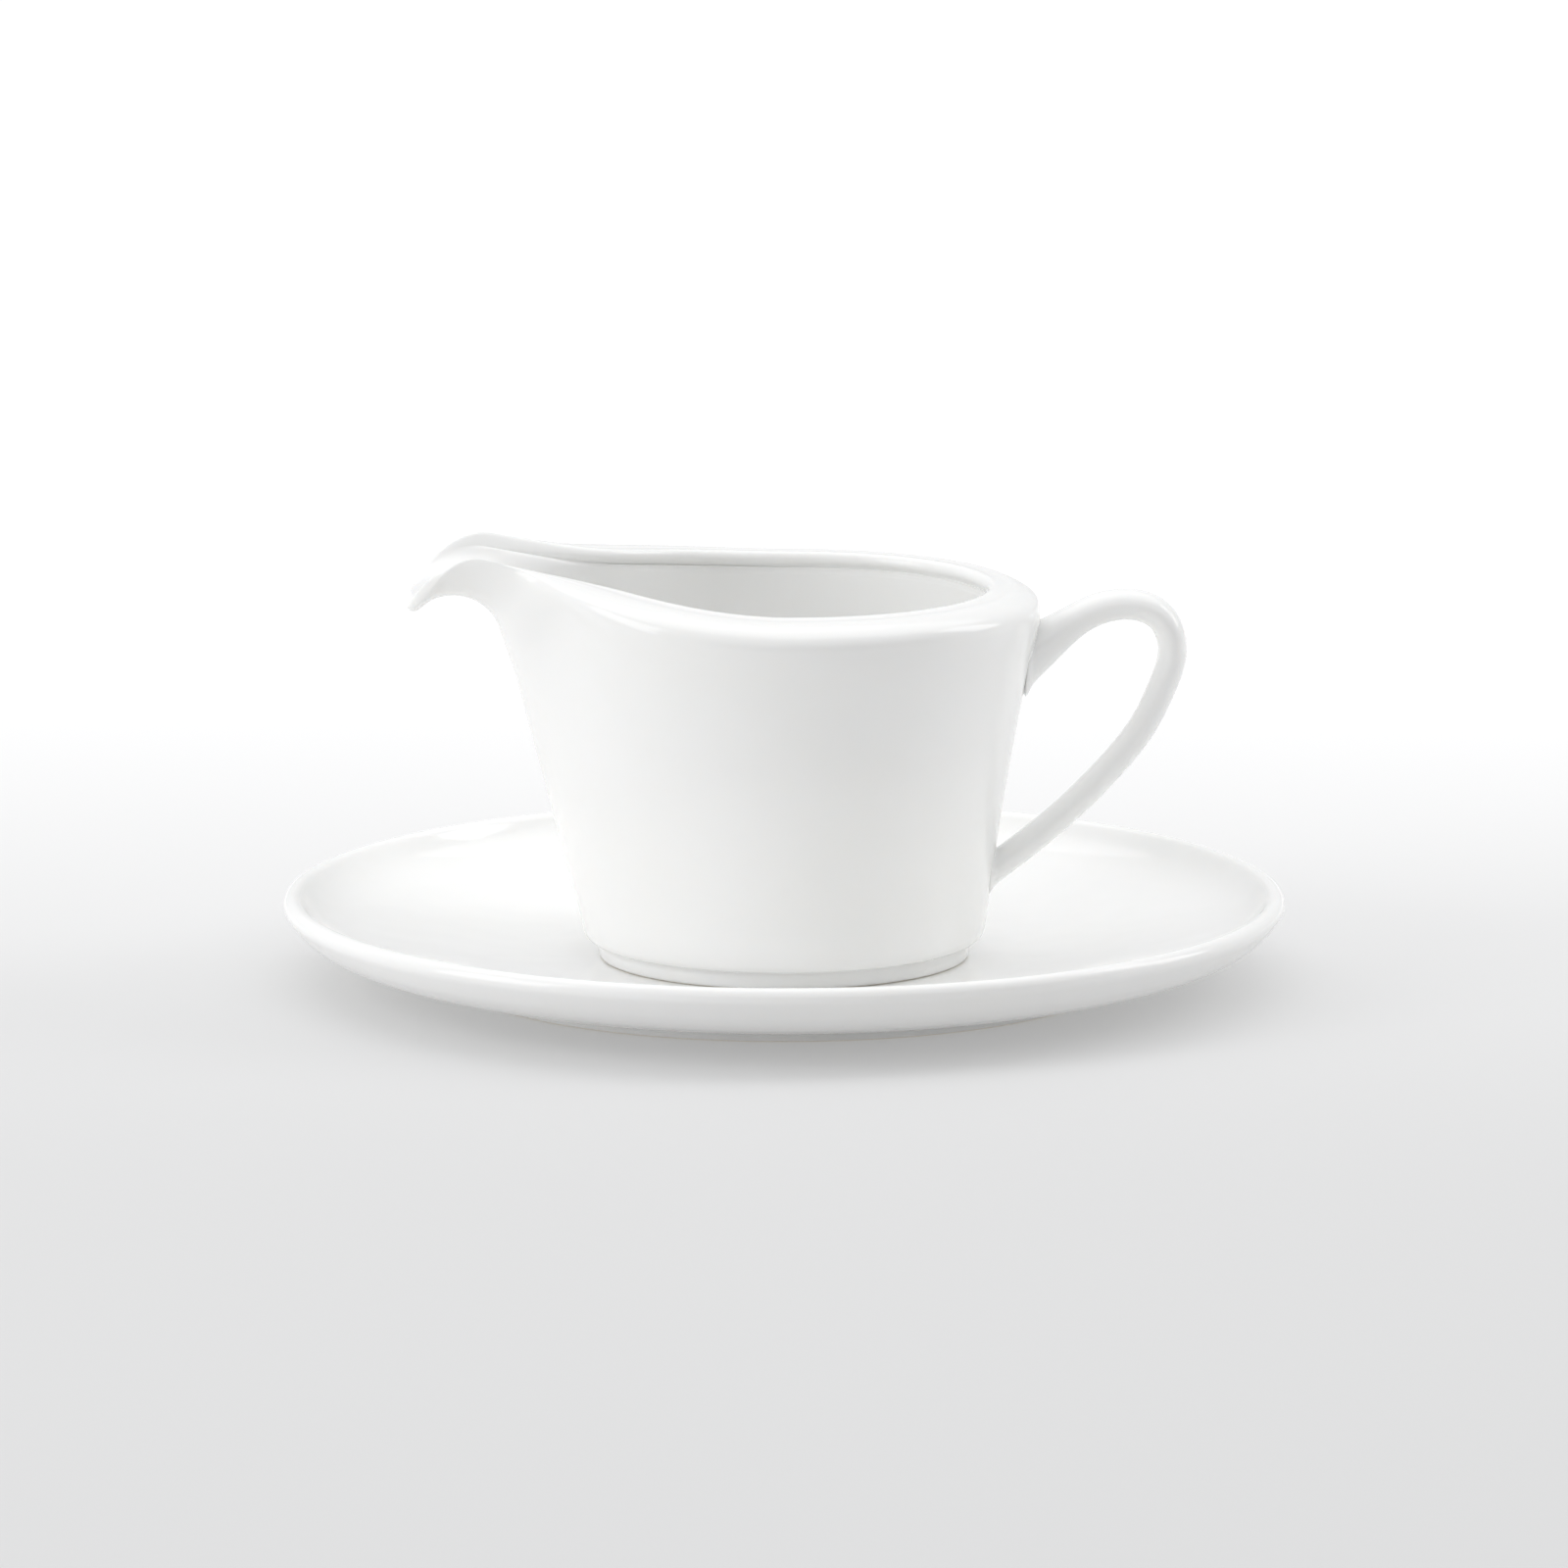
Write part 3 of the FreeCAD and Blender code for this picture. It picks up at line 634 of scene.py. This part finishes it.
def soft_box(name, place, aim, width, height, power):
    """A rectangular diffuser facing a point."""
    light = bpy.data.lights.new(name, "AREA")
    light.shape = "RECTANGLE"
    light.size = width
    light.size_y = height
    light.energy = power
    lamp = bpy.data.objects.new(name, light)
    bpy.context.scene.collection.objects.link(lamp)
    lamp.location = place
    away = np.array(place, dtype=float) - np.array(aim, dtype=float)
    flat = math.hypot(away[0], away[1])
    lamp.rotation_euler = (math.atan2(flat, away[2]), 0.0, math.atan2(away[0], -away[1]))


bowl_middle = (0.0, 0.0, 0.05)
behind_middle = (0.0, 0.1, 0.0)
soft_box("diffuser_left", (-1.3, -0.5, 0.6), bowl_middle, 0.8, 1.1, 6.0)
soft_box("diffuser_right", (1.2, 0.3, 0.8), bowl_middle, 0.5, 0.9, 3.4)
soft_box("diffuser_top", (0.0, 0.5, 1.6), behind_middle, 2.4, 1.6, 9.0)

flag_direction = (0.42, -0.90, 0.0)
world = bpy.data.worlds.new("soft_surround")
bpy.context.scene.world = world
world.use_nodes = True
world_tree = world.node_tree
world_tree.nodes.clear()
world_side = add_node(world_tree, "ShaderNodeTexCoord").outputs["Generated"]
world_front = add_node(world_tree, "ShaderNodeVectorMath", {"operation": "DOT_PRODUCT", 1: flag_direction},
                       {0: world_side})
world_flag = add_node(world_tree, "ShaderNodeMapRange",
                      {"interpolation_type": "SMOOTHSTEP", "From Min": 0.35, "From Max": 0.80, "To Min": 0.0,
                       "To Max": 0.97}, {"Value": world_front.outputs["Value"]})
world_rise = add_node(world_tree, "ShaderNodeSeparateXYZ", {}, {"Vector": world_side})
world_low = add_node(world_tree, "ShaderNodeMapRange",
                     {"interpolation_type": "SMOOTHSTEP", "From Min": 0.15, "From Max": 0.42, "To Min": 1.0,
                      "To Max": 0.0}, {"Value": world_rise.outputs["Z"]})
world_dark = add_node(world_tree, "ShaderNodeMath", {"operation": "MULTIPLY"},
                      {0: world_flag.outputs["Result"], 1: world_low.outputs["Result"]})
world_level = add_node(world_tree, "ShaderNodeMapRange", {"To Min": 0.77, "To Max": 0.0},
                       {"Value": world_dark.outputs[0]})
world_light = add_node(world_tree, "ShaderNodeBackground", {"Color": (0.985, 0.99, 1.0, 1.0)},
                       {"Strength": world_level.outputs["Result"]})
add_node(world_tree, "ShaderNodeOutputWorld", {}, {"Surface": world_light.outputs["Background"]})
bpy.context.scene.view_settings.view_transform = "Standard"

camera_data = bpy.data.cameras.new("camera")
camera = bpy.data.objects.new("camera", camera_data)
bpy.context.scene.collection.objects.link(camera)
camera_distance = 3.0
camera_tilt = math.radians(10.5)
camera_aim_height = 0.0465
frame_width = 0.3754
sensor_width = 36.0
camera_data.sensor_width = sensor_width
camera_data.lens = sensor_width * camera_distance / frame_width
camera.location = (0.0, -camera_distance * math.cos(camera_tilt),
                   camera_aim_height + camera_distance * math.sin(camera_tilt))
camera.rotation_euler = (math.pi / 2.0 - camera_tilt, 0.0, 0.0)
bpy.context.scene.camera = camera
